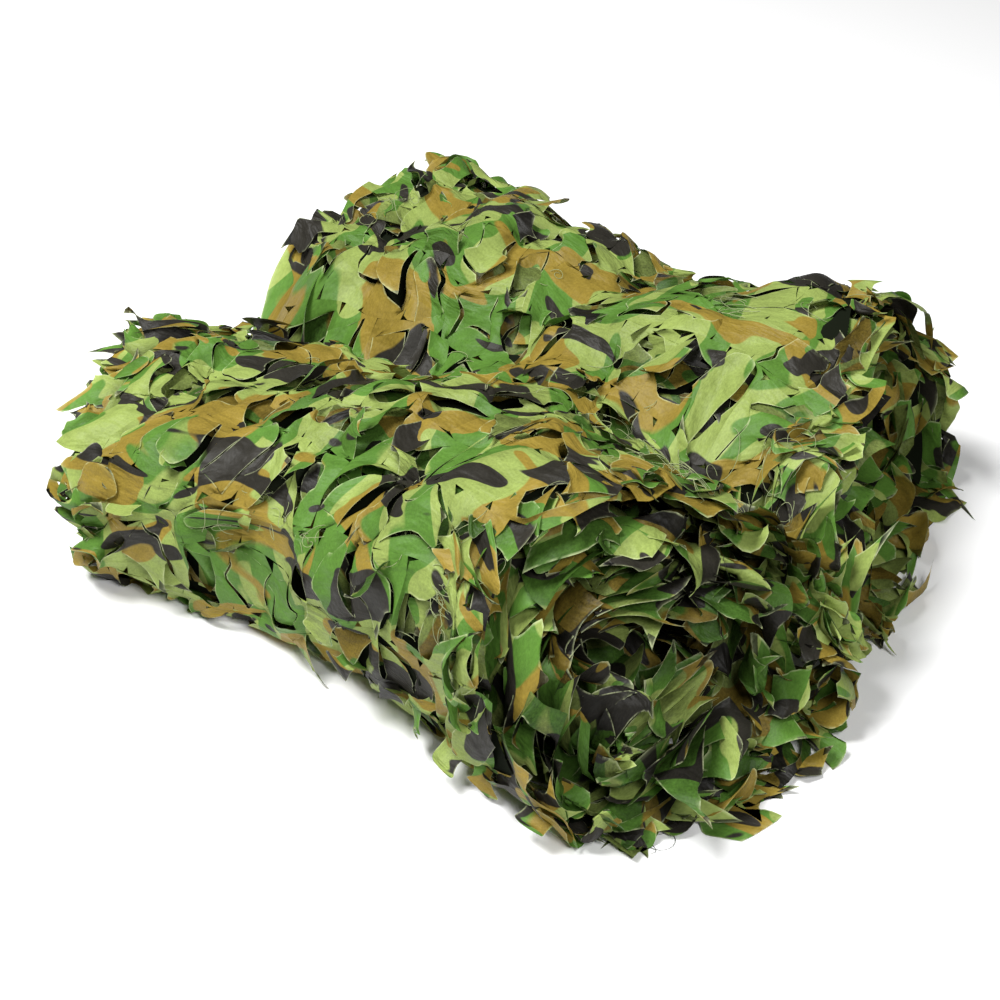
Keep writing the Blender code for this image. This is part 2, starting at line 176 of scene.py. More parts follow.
def roll_side(side, height, x):
    """Y of the outer turn's valley side at a height."""
    middle, half, top = roll_size(side, x)
    close_y, close_z = closing(side, x)
    rise = top * RISE_SHARE
    share = (height / close_z - (top - rise)) / rise
    power = np.where(share >= 0.0, UPPER_POWER, LOWER_POWER)
    reach = np.maximum(1.0 - np.minimum(np.abs(share), 1.0) ** power, 0.0) ** (1.0 / power)
    return middle - side * half * reach * close_y


def valley_point(side, depth, x):
    """Y and Z of the cloth in the valley, from a roll (depth 0) to the lowest line (depth 1)."""
    start_z = roll_point(side, VALLEY_ANGLE, x)[1]
    floor = np.minimum(station(x, VALLEY_COLUMN), start_z - VALLEY_LEAST)
    height = start_z + (floor - start_z) * depth
    wall = roll_side(side, height, x)
    middle = 0.5 * (roll_side(FRONT, floor, x) + roll_side(BACK, floor, x))
    pull = depth ** (1.0 + (start_z - floor) / VALLEY_DEEP)
    return wall + (middle - wall) * pull, height


def row_ends(side, angle):
    """Left and right end of a row."""
    reference = np.array([FRONT_RIGHT - CLOSING_LENGTH_LEFT if side == FRONT else 0.5 * BACK_RIGHT])
    y, z = (float(value[0]) for value in roll_point(side, angle, reference))
    setback = INNER_SETBACK * max(angle / 360.0 - INNER_SETBACK_START, 0.0)
    if side == FRONT:
        left = FRONT_LEFT + setback + FRONT_LEFT_SLANT * max(NEAR_LINE - y, 0.0)
        left += FRONT_LEFT_SLANT * max(y - FAR_LINE, 0.0)
        relief = MOUTH_SLANT_RELIEF * min(max((y - MOUTH_MIDDLE) / MOUTH_SPAN, 0.0), 1.0)
        corner = (max(NEAR_LINE - y, 0.0) / MOUTH_CORNER_SPAN) ** 2
        right = FRONT_RIGHT - (MOUTH_SLANT - relief) * (z / MOUTH_TOP) ** MOUTH_SLANT_POWER
        right += MOUTH_SLANT_FAR * max(y - NEAR_LINE, 0.0) - MOUTH_CORNER_CUT * corner
        return left, right - 0.5 * setback
    left = BACK_LEFT + setback + BACK_LEFT_SLANT * max(y - BACK_LEFT_LINE, 0.0)
    left += BACK_LEFT_SLANT_UP * (z / BACK_TOP) ** 2
    right = BACK_RIGHT - setback - BACK_RIGHT_SLANT_UP * (z / BACK_TOP) ** 2
    return left, right - BACK_RIGHT_SLANT_FAR * max(y - BACK_RIGHT_LINE, 0.0)


def swell(points):
    """The slow unevenness of the bundle; the floor stays flat."""
    moved = points.copy()
    lift = np.minimum(points[..., 2] / SWELL_HEIGHT, 1.0)
    for axis, size, along, across, start in SWELLS:
        wave = size * np.sin(along * points[..., 0] + across * points[..., 1] + start)
        moved[..., axis] += wave * (points[..., 2] if axis == 2 else lift)
    return moved


class Scroll:
    """The smooth wound cloth: a fine grid of points and outward directions, read at any place.

    A place is x along the rolls and t around the section, in metres of cloth from the inner end of
    the front roll to the inner end of the back roll.
    """

    ANGLE_STEP = 3.0
    VALLEY_STEPS = 9
    COLUMNS = 97
    SMOOTHINGS = 3

    def __init__(self):
        step = self.ANGLE_STEP
        rows = [("roll", FRONT, float(angle)) for angle in np.arange(FRONT_INNER_END, VALLEY_ANGLE, -step)]
        depths = [count / self.VALLEY_STEPS for count in range(self.VALLEY_STEPS + 1)]
        rows += [("valley", FRONT, depth) for depth in depths]
        rows += [("valley", BACK, depth) for depth in depths[-2::-1]]
        back_angles = np.arange(VALLEY_ANGLE + step, BACK_INNER_END, step)
        rows += [("roll", BACK, float(angle)) for angle in back_angles]
        share = np.linspace(0.0, 1.0, self.COLUMNS)
        front_edge = row_ends(FRONT, VALLEY_ANGLE)
        back_edge = row_ends(BACK, VALLEY_ANGLE)
        grid, ends = [], []
        for kind, side, value in rows:
            if kind == "roll":
                left, right = row_ends(side, value)
            else:
                mix = 0.5 * value if side == FRONT else 1.0 - 0.5 * value
                left = front_edge[0] + (back_edge[0] - front_edge[0]) * mix
                right = front_edge[1] + (back_edge[1] - front_edge[1]) * mix
                right += (VALLEY_RIGHT - right) * value ** 2
            x = left + (right - left) * share
            y, z = (roll_point if kind == "roll" else valley_point)(side, value, x)
            grid.append(np.stack([x, y, z], axis=1))
            ends.append((left, right))
        self.grid = swell(np.array(grid))
        self.ends = np.array(ends)
        along = np.gradient(self.grid, axis=1)
        around = np.gradient(self.grid, axis=0)
        out = np.cross(along, around)
        for _ in range(self.SMOOTHINGS):
            out[1:-1] = 0.25 * out[:-2] + 0.5 * out[1:-1] + 0.25 * out[2:]
        self.out = out / np.linalg.norm(out, axis=2, keepdims=True)
        middle = self.grid[:, self.COLUMNS // 2, 1:]
        steps = np.linalg.norm(np.diff(middle, axis=0), axis=1)
        self.t = np.concatenate([[0.0], np.cumsum(steps)])
        self.rows = rows

    def t_of(self, side, angle):
        """Place around the section of a winding angle on a roll."""
        off = [abs(row[2] - angle) if row[:2] == ("roll", side) else math.inf for row in self.rows]
        return float(self.t[np.argmin(off)])

    def ends_at(self, t):
        """Left and right end of the cloth at a place around the section."""
        return np.interp(t, self.t, self.ends[:, 0]), np.interp(t, self.t, self.ends[:, 1])

    def read(self, x, t):
        """Point and outward direction at a place; past both ends the cloth runs on straight."""
        left, right = self.ends_at(t)
        row = np.interp(t, self.t, np.arange(len(self.t)))
        low_row = np.clip(row.astype(int), 0, len(self.t) - 2)
        part_row = (row - low_row)[..., None]
        share = np.clip((x - left) / (right - left), 0.0, 1.0)
        column = share * (self.COLUMNS - 1)
        low_column = np.clip(column.astype(int), 0, self.COLUMNS - 2)
        part_column = (column - low_column)[..., None]
        found = []
        for source in (self.grid, self.out):
            rows = []
            for row in (low_row, low_row + 1):
                left_part = source[row, low_column] * (1 - part_column)
                rows.append(left_part + source[row, low_column + 1] * part_column)
            found.append(rows[0] * (1 - part_row) + rows[1] * part_row)
        point, out = found
        point[..., 0] += x - (left + (right - left) * share)
        return point, out / np.linalg.norm(out, axis=-1, keepdims=True)


SCROLL = Scroll()
T_HOLLOW_END = SCROLL.t_of(FRONT, HOLLOW_ANGLE)
T_FRONT_FLOOR = SCROLL.t_of(FRONT, FLOOR_ANGLE)
T_FRONT_TOP = SCROLL.t_of(FRONT, TOP_ANGLE)
T_VALLEY = 0.5 * (SCROLL.t_of(FRONT, VALLEY_ANGLE) + SCROLL.t_of(BACK, VALLEY_ANGLE + Scroll.ANGLE_STEP))
T_BACK_TOP = SCROLL.t_of(BACK, TOP_ANGLE)
T_BACK_FLOOR = SCROLL.t_of(BACK, FLOOR_ANGLE)
T_END = float(SCROLL.t[-1])

# ---------- unevenness of the cloth
RIPPLE_SEED = 11
RIPPLES = 26


def make_ripples(seed, shortest, longest):
    """Random directions, lengths and starts of slow waves in the cloth."""
    draw = np.random.RandomState(seed)
    heading = draw.uniform(0.0, math.pi, RIPPLES)
    length = np.exp(draw.uniform(math.log(shortest), math.log(longest), RIPPLES))
    start = draw.uniform(0.0, 2.0 * math.pi, RIPPLES)
    return heading, length, start


LONG_RIPPLES = make_ripples(RIPPLE_SEED, 0.050, 0.140)
SHORT_RIPPLES = make_ripples(RIPPLE_SEED + 1, 0.018, 0.045)
CREASES = make_ripples(RIPPLE_SEED + 2, 0.075, 0.170)


def wave_phase(wave, x, t):
    """Phase of one wave at a place."""
    heading, length, start = wave
    return (x * math.cos(heading) + t * math.sin(heading)) * 2.0 * math.pi / length + start


def ripple(waves, x, t):
    """Sum of the waves at a place, about -1 to 1."""
    total = 0.0
    for wave in zip(*waves):
        total = total + np.sin(wave_phase(wave, x, t))
    return total / math.sqrt(RIPPLES)


LONG_RIPPLE_SIZE = 0.0028
SHORT_RIPPLE_SIZE = 0.0012
CREASE_SIZE = 0.0048
CREASE_COUNT = 5
CREASE_LEVEL = 0.64
# x, place around the section, reach along the rolls and around them, lift
PUFFS = (
    (0.015, T_BACK_TOP + 0.020, 0.038, 0.060, 0.013),
    (0.120, T_BACK_TOP + 0.025, 0.050, 0.070, -0.013),
    (-0.235, T_FRONT_TOP + 0.030, 0.045, 0.050, -0.005),
    (-0.225, T_BACK_TOP + 0.015, 0.035, 0.060, -0.010),
    (-0.140, T_BACK_TOP + 0.020, 0.040, 0.060, 0.005),
    (0.080, T_FRONT_FLOOR + 0.020, 0.130, 0.050, -0.012),
)


def creasing(x, t):
    """Rounded swellings with sharp dents between them."""
    total = 0.0
    for wave in list(zip(*CREASES))[:CREASE_COUNT]:
        total = total + np.abs(np.sin(wave_phase(wave, x, t))) - CREASE_LEVEL
    return total / math.sqrt(CREASE_COUNT)


def puffs(x, t):
    """Broad places where the outer turn bulges or sags."""
    total = 0.0
    for at_x, at_t, reach_x, reach_t, lift in PUFFS:
        total = total + lift * np.exp(-((x - at_x) / reach_x) ** 2 - ((t - at_t) / reach_t) ** 2)
    return total


def cloth_height(x, t, shift):
    """Height of the cloth's unevenness over the smooth scroll; only the short waves differ by layer."""
    broad = puffs(x, t) + LONG_RIPPLE_SIZE * ripple(LONG_RIPPLES, x, t) + CREASE_SIZE * creasing(x, t)
    return broad + SHORT_RIPPLE_SIZE * ripple(SHORT_RIPPLES, x - shift, t + shift)


# ---------- leaf shapes
# Half width on the left and on the right from root to tip, then how far the tip reaches at its left
# corner, its middle and its right corner. All are shares of the leaf's half width or length.
LEAF_SHAPES = (
    # shark fin, hooked to the left
    ((1.00, 0.80, 0.78, 0.94, 1.25), (1.00, 1.06, 0.90, 0.62, 0.20), (1.14, 0.84, 0.70)),
    # fishtail
    ((1.00, 0.72, 0.62, 0.86, 1.12), (1.00, 0.76, 0.64, 0.84, 1.08), (1.08, 0.76, 1.02)),
    # pointed blade with a barb
    ((1.00, 0.78, 1.16, 0.66, 0.16), (1.00, 0.74, 0.78, 1.04, 0.24), (0.90, 1.08, 0.90)),
    # rounded spoon
    ((1.00, 0.80, 0.84, 0.98, 0.56), (1.00, 0.82, 0.84, 0.96, 0.56), (0.88, 1.02, 0.88)),
    # broad flap cut off slantwise
    ((1.00, 0.92, 0.86, 0.98, 1.10), (1.00, 0.82, 0.98, 0.84, 0.70), (1.02, 0.88, 0.74)),
    # arrow head
    ((1.00, 0.66, 0.60, 1.12, 0.20), (1.00, 0.68, 0.62, 1.08, 0.20), (0.92, 1.08, 0.92)),
    # three-lobed, hooked to the right
    ((1.00, 0.74, 0.94, 0.66, 0.34), (1.00, 0.80, 0.70, 0.92, 1.20), (0.80, 0.82, 1.10)),
    # square flap with notched sides
    ((1.00, 0.66, 0.98, 0.96, 0.90), (1.00, 0.98, 0.68, 0.96, 0.86), (0.98, 0.94, 1.00)),
    # wide rounded flap
    ((1.00, 1.02, 1.06, 0.98, 0.60), (1.00, 0.90, 0.98, 1.02, 0.66), (0.86, 1.00, 0.90)),
)
SHAPE_KNOTS = np.linspace(0.0, 1.0, 5)
TIP_KNOTS = np.array([-1.0, 0.0, 1.0])
ACROSS = np.array([-1.0, -0.93, -0.62, -0.31, 0.0, 0.31, 0.62, 0.93, 1.0])
ALONG = np.array([0.0, 0.09, 0.18, 0.27, 0.36, 0.45, 0.54, 0.63, 0.72, 0.81, 0.89, 0.96, 1.0])


def soft_read(knots, values, places):
    """Reads a short row of values along a smooth curve."""
    values = np.asarray(values)
    return smooth_curve(knots, values, np.gradient(values, knots), places)


def leaf_flat(leaf, across, along):
    """Flat place of points of a leaf given across (-1 to 1) and along (0 to 1), in the leaf's axes."""
    left, right, tips = LEAF_SHAPES[leaf.shape]
    if leaf.mirror:
        left, right, tips = right, left, tips[::-1]
    width = np.where(across < 0.0, *(soft_read(SHAPE_KNOTS, side, along) for side in (left, right)))
    reach = soft_read(TIP_KNOTS, tips, across)
    far = along * (1.0 + (reach - 1.0) * along ** 2)
    u = leaf.bend * along ** 2 + across * width * leaf.half
    return u, far * leaf.length


FLOOR_CLEARANCE = 0.0006


class Patch:
    """Collects points, flat places and faces of one piece of cloth."""

    def __init__(self):
        self.points = []
        self.flat = []
        self.edge = []
        self.tone = []
        self.faces = []
        self.count = 0

    def add_grid(self, points, flat, edge, tone, closed=False):
        """Adds a grid of vertices; a closed grid joins its last column to its first."""
        shape = points.shape[:2]
        numbers = self.count + np.arange(shape[0] * shape[1]).reshape(shape)
        if closed:
            numbers = np.concatenate([numbers, numbers[:, :1]], axis=1)
        near, far = numbers[:-1], numbers[1:]
        quads = np.stack([near[:, :-1], near[:, 1:], far[:, 1:], far[:, :-1]], axis=-1)
        self.points.append(points.reshape(-1, 3))
        self.flat.append(flat.reshape(-1, 2))
        self.edge.append(np.broadcast_to(edge, shape).reshape(-1))
        self.tone.append(np.broadcast_to(tone, shape).reshape(-1))
        self.faces.append(quads.reshape(-1, 4))
        self.count += numbers[:, :shape[1]].size

    def flat_area(self):
        """Area of the pattern as it is cut, before it is bent."""
        corners = np.concatenate(self.flat)[np.concatenate(self.faces)]
        first, second = corners[:, 2] - corners[:, 0], corners[:, 3] - corners[:, 1]
        return float(np.abs(first[:, 0] * second[:, 1] - first[:, 1] * second[:, 0]).sum() / 2.0)

    def build(self, name, material):
        """Makes the mesh object with its cloth coordinates stored on it."""
        points = np.concatenate(self.points)
        points[:, 2] = np.maximum(points[:, 2], FLOOR_CLEARANCE)
        faces = np.concatenate(self.faces)
        mesh = bpy.data.meshes.new(name)
        mesh.from_pydata(points.tolist(), [], faces.tolist())
        mesh.shade_smooth()
        flat = np.concatenate(self.flat)
        store(mesh, "cloth", "FLOAT_VECTOR", np.column_stack([flat, np.zeros(len(flat))]))
        store(mesh, "edge", "FLOAT", np.concatenate(self.edge))
        store(mesh, "tone", "FLOAT", np.concatenate(self.tone))
        mesh.materials.append(material)
        return add_object(name, mesh)


def store(mesh, name, kind, values):
    """Stores one value for each vertex."""
    attribute = mesh.attributes.new(name, kind, "POINT")
    field = "vector" if kind == "FLOAT_VECTOR" else "value"
    attribute.data.foreach_set(field, values.astype(np.float32).ravel())


WARP_SIZE = 0.006
WARP_X = make_ripples(71, 0.060, 0.160)
WARP_T = make_ripples(72, 0.060, 0.160)


def to_world(x, t, height, shift):
    """Bends flat places with a height onto the scroll, warped so that no row of leaves is straight."""
    warped_x = x + WARP_SIZE * ripple(WARP_X, x + shift, t - shift)
    warped_t = t + WARP_SIZE * ripple(WARP_T, x - shift, t + shift)
    point, out = SCROLL.read(warped_x, warped_t)
    return point + out * height[..., None] - ORIGIN


OUTLINE_ALONG = np.append(ALONG[:10], (0.90, 1.0))
TIP_ACROSS = ACROSS[2:-2]
SLIT = 0.0008
TIP_SLIT = 1.4


def leaf_outline(leaf):
    """Flat outline of a leaf's cut, from its root's left end round the tip to its right end."""
    count, tip = len(OUTLINE_ALONG), len(TIP_ACROSS)
    across = np.concatenate([np.full(count, -1.0), TIP_ACROSS, np.full(count, 1.0)])
    along = np.concatenate([OUTLINE_ALONG, np.ones(tip), OUTLINE_ALONG[::-1]])
    u, v = leaf_flat(leaf, across, along)
    return np.stack([u + SLIT * across, v + SLIT * TIP_SLIT * along], axis=1)


def turned(points, heading):
    """Turns flat points so that the leaf's long axis lies along the heading."""
    cosine, sine = math.cos(heading), math.sin(heading)
    return np.stack([
        points[..., 0] * cosine - points[..., 1] * sine,
        points[..., 0] * sine + points[..., 1] * cosine], axis=-1)


LINE_END, LINE_STEPS = 1.3, 40
KINK_WIDTH = 0.05
FOLD_START, FOLD_POWER = 0.05, 0.7
# How soon from the root a leaf cups, lies aside and leaves the cloth under it.
CUP_RISE, ASIDE_RISE, FOLLOW_FALL = 1.6, 2.5, 1.5
# Width of the frayed edge: shares of a leaf's half width and length, and of the way from cut to border.
EDGE_ACROSS, EDGE_ALONG, EDGE_RING = 0.07, 0.05, 0.07
# How the painted shade at a leaf's root fades towards its tip.
ROOT_SHADE_POWER = 1.5
# The tone of a tip that reaches past its leaf's length, so low that the cloth is painted as dark there as
# it gets.
FULL_SHADE = -1000.0


def add_tongue(patch, leaf, layer):
    """One leaf tongue, hinged at its root and curled."""
    across, along = np.meshgrid(ACROSS, ALONG)
    u, v = leaf_flat(leaf, across, along)
    share = v / leaf.length
    line = np.linspace(0.0, LINE_END, LINE_STEPS)
    kink = leaf.kink * np.clip((line - leaf.kink_at) / KINK_WIDTH, 0.0, 1.0)
    slope = leaf.lift + leaf.curl * line ** leaf.curl_power + kink
    step = leaf.length * line[1]
    sums = [np.concatenate([[0.0], np.cumsum(part(slope[:-1]) * step)]) for part in (np.cos, np.sin)]
    run, rise, lean = (np.interp(share, line, values) for values in (*sums, slope))
    twist = leaf.twist * share * u
    crease = leaf.crease * np.abs(u) * np.sin(math.pi * np.clip(share, FOLD_START, 1.0) ** FOLD_POWER)
    crease = crease + leaf.cup * u * u / leaf.half * np.minimum(share * CUP_RISE, 1.0)
    flutter = leaf.flutter * np.sin(leaf.flutter_turns * share * math.pi + leaf.flutter_start)
    normal_rise = twist + crease + flutter * across * share
    y = run - np.sin(lean) * normal_rise
    z = rise + np.cos(lean) * normal_rise
    z = np.where(z > 0.0, leaf.limit * np.tanh(z / leaf.limit), z)
    aside = leaf.aside * np.minimum(share * ASIDE_RISE, 1.0)
    place = turned(np.stack([u + aside, y], axis=-1), leaf.heading + leaf.swing)
    flat = turned(np.stack([u, v], axis=-1), leaf.heading)
    x = leaf.x + place[..., 0]
    t = leaf.t + place[..., 1]
    follow = np.clip(1.0 - (1.0 - leaf.follow) * share * FOLLOW_FALL, 0.0, 1.0)
    base = cloth_height(np.full_like(x, leaf.x), np.full_like(t, leaf.t), layer.shift)
    base = base * (1.0 - follow) + cloth_height(x, t, layer.shift) * follow
    offset = np.maximum(leaf.side * base + z, -layer.sink)
    height = leaf.height + leaf.side * offset
    edge = np.minimum((1.0 - np.abs(across)) / EDGE_ACROSS, (1.0 - along) / EDGE_ALONG)
    flat = flat + np.array([leaf.x, leaf.t]) + layer.print + leaf.print
    # Painted shade: each leaf is darker towards its root, where it leaves the cloth, and a tip past its
    # length is painted darkest.
    root_shade = layer.root_shade * np.maximum(1.0 - share, 0.0) ** ROOT_SHADE_POWER
    tone = np.where(share > 1.0, FULL_SHADE, leaf.tone + layer.tone - root_shade)
    patch.add_grid(to_world(x, t, height, layer.shift), flat, np.clip(edge, 0.0, 1.0), tone)


# Places from the cut to the cell's border, how near the cut may come to it, and how evenly they spread.
RINGS = np.array([0.0, 0.07, 0.25, 0.55, 1.0])
CELL_ROOM = 0.95
EVEN_SHARE = 0.65
LIP_START, LIP_SPAN, LIP_POWER, LIP_FADE = 0.05, 0.9, 1.5, 1.3


def add_frame(patch, leaf, cell, layer):
    """The cloth of a cell round its leaf cut, up to the cell's straight border."""
    outline = turned(leaf_outline(leaf), leaf.heading) + np.array([leaf.x, leaf.t])
    closed = np.concatenate([outline, 0.5 * (outline[:1] + outline[-1:])])
    middle = np.array([cell.x, cell.t])
    reach = closed - middle
    half_x, half_t = 0.5 * cell.wide, 0.5 * cell.tall
    past = np.maximum(np.abs(reach[:, 0]) / half_x, np.abs(reach[:, 1]) / half_t)
    inside = np.minimum(1.0, CELL_ROOM / past)
    closed = middle + reach * inside[:, None]
    reach = closed - middle
    turn = np.unwrap(np.arctan2(reach[:, 1] / half_t, reach[:, 0] / half_x))
    whole_turn = math.copysign(2.0 * math.pi, turn[-1] - turn[0])
    even = np.linspace(turn[0], turn[0] + whole_turn, len(turn), endpoint=False)
    bearing = (1.0 - EVEN_SHARE) * turn + EVEN_SHARE * even
    unit_x, unit_t = np.cos(bearing), np.sin(bearing)
    box = 1.0 / np.maximum(np.abs(unit_x), np.abs(unit_t))
    border = middle + np.stack([unit_x * box * half_x, unit_t * box * half_t], axis=1)
    rings = RINGS[:, None, None]
    flat = closed * (1.0 - rings) + border * rings
    x, t = flat[..., 0], flat[..., 1]
    place = np.arange(len(closed)) / (len(closed) - 1.0)
    tipness = np.sin(math.pi * np.clip((place - LIP_START) / LIP_SPAN, 0.0, 1.0)) ** LIP_POWER
    lip = cell.tip_drop * tipness + cell.side_lift * np.sin(2.0 * math.pi * place)
    fade = (1.0 - RINGS[:, None]) ** LIP_FADE
    points = to_world(x, t, leaf.height + cloth_height(x, t, layer.shift) + lip * fade, layer.shift)
    edge = np.clip(RINGS[:, None] / EDGE_RING, 0.0, 1.0)
    patch.add_grid(points, flat + layer.print, edge, leaf.tone + layer.tone, closed=True)


# Wildness of the valley and the floor line, and how far it reaches from there and from both ends.
VALLEY_WILD, VALLEY_REACH = 0.9, 0.065
FLOOR_WILD, FLOOR_REACH = 0.5, 0.10
LEFT_REACH, RIGHT_REACH = 0.075, 0.055
PATCH_WILD, PATCH_SPREAD, PATCH_X, PATCH_T = 0.32, 0.40, 0.7, 0.3


def wildness(x, t):
    """0 where the cloth lies smooth, 1 where its leaves stand and fold every way."""
    left, right = SCROLL.ends_at(t)
    ends = 1.0 - min((x - left) / LEFT_REACH, (right - x) / RIGHT_REACH)
    valley = VALLEY_WILD - abs(t - T_VALLEY) / VALLEY_REACH
    low = FLOOR_WILD - min(t - T_FRONT_FLOOR, T_BACK_FLOOR - t) / FLOOR_REACH
    patchy = PATCH_WILD + PATCH_SPREAD * float(ripple(LONG_RIPPLES, x + PATCH_X, t + PATCH_T))
    return float(np.clip(max(ends, valley, low, patchy), 0.0, 1.0))


# Angles are in degrees; each WILD value is added, or taken off a share, where the cloth is wild.
USUAL_LIFT, WILD_LIFT = (3.0, 17.0), 16.0
USUAL_CURL, CURL_SPREAD, WILD_CURL = 2.0, 18.0, 18.0
FLAT_SHARE, FLAT_WILD, FLAT_LIFT, FLAT_CURL = 0.36, 0.30, (0.5, 7.0), 7.0
STAND_FROM, STAND_WILD, STAND_LIFT, STAND_CURL = 0.92, 0.12, (30.0, 65.0), (10.0, 90.0)
DROOP_FROM, DROOP_WILD, DROOP_LIFT, DROOP_CURL = 0.68, 0.10, (-55.0, -22.0), (-30.0, 10.0)
USUAL_FOLLOW, USUAL_LOOSE, WILD_LOOSE, FLAT_LOOSE = 0.35, 0.45, 0.55, 0.25
LEAST_LIMIT, WILD_LIMIT, STAND_LIMIT = 0.0075, 0.0045, 0.005
SWING, LOOSE_SWING = 2.0, 6.0
KINK_SPREAD, KINK_SHARE = 1.1, 0.5


def draw_leaf(draw, x, t, height, half, length, heading, wild, side=1.0):
    """Random shape and pose of one leaf."""
    chance = draw.uniform()
    lift = draw.uniform(USUAL_LIFT[0], USUAL_LIFT[1] + WILD_LIFT * wild)
    curl = draw.normal(USUAL_CURL, CURL_SPREAD + WILD_CURL * wild)
    follow, loose, stand = USUAL_FOLLOW, USUAL_LOOSE + WILD_LOOSE * wild, 0.0
    if chance < FLAT_SHARE - FLAT_WILD * wild:
        lift = draw.uniform(*FLAT_LIFT)
        curl = draw.normal(0.0, FLAT_CURL)
        follow, loose = 1.0, FLAT_LOOSE
    elif chance > STAND_FROM - STAND_WILD * wild:
        lift = draw.uniform(*STAND_LIFT)
        curl = draw.uniform(*STAND_CURL)
        stand = STAND_LIMIT
    elif chance > DROOP_FROM - DROOP_WILD * wild:
        lift = draw.uniform(*DROOP_LIFT)
        curl = draw.uniform(*DROOP_CURL)
    return SimpleNamespace(
        x=x, t=t, height=height, side=side, follow=follow,
        half=half * draw.uniform(0.85, 1.2), length=length * draw.uniform(0.8, 1.15),
        heading=heading, shape=draw.randint(len(LEAF_SHAPES)), mirror=draw.uniform() < 0.5,
        bend=half * draw.normal(0.0, 0.32), lift=math.radians(lift), curl=math.radians(curl),
        curl_power=draw.uniform(0.8, 1.8), twist=draw.normal(0.0, 0.5) * loose,
        crease=draw.normal(0.0, 0.25) * loose, cup=draw.normal(0.0, 0.45) * loose,
        flutter=half * draw.uniform(0.0, 0.45) * loose,
        flutter_turns=draw.uniform(1.0, 3.0), flutter_start=draw.uniform(0.0, 6.28),
        limit=LEAST_LIMIT + WILD_LIMIT * wild + stand,
        swing=math.radians(draw.normal(0.0, SWING + LOOSE_SWING * loose)),
        aside=draw.normal(0.0, 0.0011), tone=draw.uniform(),
        kink=draw.normal(0.0, KINK_SPREAD) * wild * (draw.uniform() < KINK_SHARE),
        kink_at=draw.uniform(0.25, 0.75), print=np.zeros(2))


CELL_WIDE, CELL_TALL = 0.034, 0.044
# A leaf in shares of its cell: how far behind the middle its root is, its half width and its length.
ROOT_BACK, LEAF_HALF, LEAF_LENGTH = 0.42, 0.35, 0.84
HEADING_SPREAD = 30.0
ROOT_JITTER = (0.16, 0.12)
TIP_DROP, SIDE_LIFT, WILD_LIP = 0.0016, 0.0017, 0.0018
X_LOW, X_HIGH = -0.325, 0.285
PLAIN_SHARE = 0.17
PLAIN_STEPS = 9
EDGE_ROOM = 0.12


def make_layer(draw, sink, tone=0.0, root_shade=0.25):
    """What a layer's leaves share: the start of its print and its waves, and how deep it lies in painted
    shade.
    """
    return SimpleNamespace(
        print=draw.uniform(0.0, 3.0, 2), shift=draw.uniform(0.0, 1.0), sink=sink, tone=tone,
        root_shade=root_shade)


def add_plain(patch, x, t, wide, tall, height, tone, layer):
    """A cell of cloth without a cut."""
    steps = np.linspace(-0.5, 0.5, PLAIN_STEPS)
    x, t = np.meshgrid(x + steps * wide, t + steps * tall)
    flat = np.stack([x, t], axis=-1) + layer.print
    heights = height + cloth_height(x, t, layer.shift)
    patch.add_grid(to_world(x, t, heights, layer.shift), flat, 1.0, tone + layer.tone)


def build_layer(name, seed, t_low, t_high, height, wide=CELL_WIDE, tall=CELL_TALL, framed=True,
                keep=1.0, side=1.0, wild_least=0.0, sink=0.009, tone=0.0):
    """A layer of leaf-cut cloth between two places around the section; without its frame, leaves alone."""
    patch = Patch()
    length = t_high - t_low
    draw = np.random.RandomState(seed)
    layer = make_layer(draw, sink, tone)
    rows = max(int(round(length / tall)), 1)
    tall = length / rows
    columns = int(math.ceil((X_HIGH - X_LOW) / wide)) + 1
    room = EDGE_ROOM * wide
    for row in range(rows):
        t = t_low + (row + 0.5) * tall
        left, right = SCROLL.ends_at(t)
        for column in range(columns):
            x = X_LOW + (column + (0.5 if row % 2 else 0.0)) * wide
            values = draw.uniform(size=6)
            leaf_draw = np.random.RandomState(draw.randint(1 << 30))
            if not left + room <= x <= right - room or values[5] > keep:
                continue
            wild = max(wildness(x, t), wild_least)
            if framed and leaf_draw.uniform() < PLAIN_SHARE * (1.0 - wild):
                add_plain(patch, x, t, wide, tall, height, leaf_draw.uniform(), layer)
                continue
            heading = math.pi * (leaf_draw.uniform() < 0.5)
            heading += math.radians(leaf_draw.normal(0.0, HEADING_SPREAD))
            root = np.array([x, t]) - turned(np.array([0.0, ROOT_BACK * tall]), heading)
            root = root + (values[:2] - 0.5) * np.array([ROOT_JITTER[0] * wide, ROOT_JITTER[1] * tall])
            leaf = draw_leaf(
                leaf_draw, *root, height, LEAF_HALF * wide, LEAF_LENGTH * tall, heading, wild, side)
            add_tongue(patch, leaf, layer)
            if framed:
                cell = SimpleNamespace(
                    x=x, t=t, wide=wide, tall=tall,
                    tip_drop=side * leaf_draw.normal(0.0, TIP_DROP + WILD_LIP * wild),
                    side_lift=leaf_draw.normal(0.0, SIDE_LIFT + WILD_LIP * wild))
                add_frame(patch, leaf, cell, layer)
    finish_piece(patch, name)


HOLLOW_COUNT = 120
# Painted shade: the hollow's leaves are painted darker, most of all at their roots.
HOLLOW_PAINTED_SHADE, HOLLOW_ROOT_SHADE = -1.5, 2.2
HOLLOW_START, HOLLOW_END, HOLLOW_LOW = 0.060, 0.190, 0.01
HOLLOW_DEPTH, HOLLOW_SINK = 0.022, 0.06
HOLLOW_HALF, HOLLOW_LENGTH, HOLLOW_LIFT, HOLLOW_LIMIT = 0.013, 0.040, 70.0, 0.030


